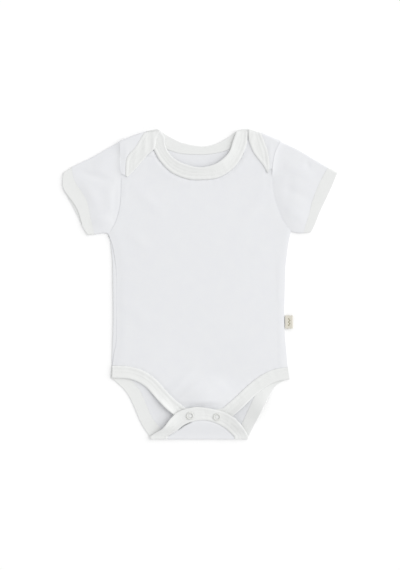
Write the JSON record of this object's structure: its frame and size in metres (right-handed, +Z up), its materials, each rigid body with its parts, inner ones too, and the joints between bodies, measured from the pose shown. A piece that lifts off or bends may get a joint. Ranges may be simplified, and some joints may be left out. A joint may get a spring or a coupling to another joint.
{
  "type": "baby onesie",
  "caption": "White short-sleeved baby bodysuit with an envelope neck and a snapped crotch, laid flat.",
  "frame": {"origin": "on the surface it lies on, under the middle of the garment's box", "axes": "+Z up off the surface, +Y towards the neck, +X towards the wearer's left sleeve, which is the side with the label"},
  "size_m": [0.3431, 0.3878, 0.008],
  "materials": {
    "jersey": "matt white cotton jersey",
    "rib": "matt white cotton rib",
    "tape": "cream woven tape",
    "snap": "white enamel"
  },
  "bodies": {
    "root": {"back_panel": "jersey", "front_panel": "jersey", "shoulder_lap_left": "jersey", "shoulder_lap_right": "jersey", "lap_band_left": "rib", "lap_band_right": "rib", "neckband_front": "rib", "neckband_back": "rib", "sleeve_left": "jersey", "sleeve_right": "jersey", "sleeve_hem_left": "jersey", "sleeve_hem_right": "jersey", "leg_binding_front": "rib", "leg_binding_back": "rib", "side_label": "tape", "snap_cap_left": "snap", "snap_cap_right": "snap", "snap_socket_left": "snap", "snap_socket_right": "snap", "snap_stud_left": "snap", "snap_stud_right": "snap", "snap_ring_left": "snap", "snap_ring_right": "snap"}
  },
  "joints": []
}
